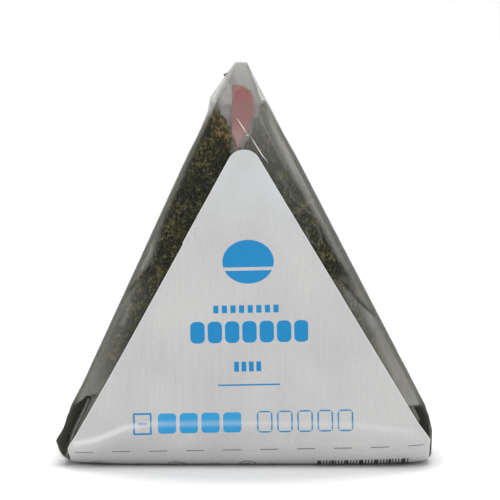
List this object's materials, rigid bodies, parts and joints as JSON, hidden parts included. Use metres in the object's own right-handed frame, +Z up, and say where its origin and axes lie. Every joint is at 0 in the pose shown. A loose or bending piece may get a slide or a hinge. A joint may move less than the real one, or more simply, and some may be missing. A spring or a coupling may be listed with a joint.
{
  "type": "wrapped onigiri rice ball",
  "caption": "Triangular rice ball in seaweed, sealed in a clear film pack that stands on its base, with a white label wrapped round its foot and a red tear tape at the tip.",
  "frame": {"origin": "centre of the footprint on the floor, under the pack", "axes": "+Z up to the tip, -Y out of the front with the tall label, +X to the right seen from the front"},
  "size_m": [0.0993, 0.04, 0.1048],
  "materials": {
    "film": "thin clear film, slightly hazy, over dark seaweed",
    "label": "white satin paper with plain blue and black shapes",
    "tape": "dark red tear tape"
  },
  "bodies": {
    "root": {"film_pack": "film", "label": "label", "tear_tape": "tape"}
  },
  "joints": []
}
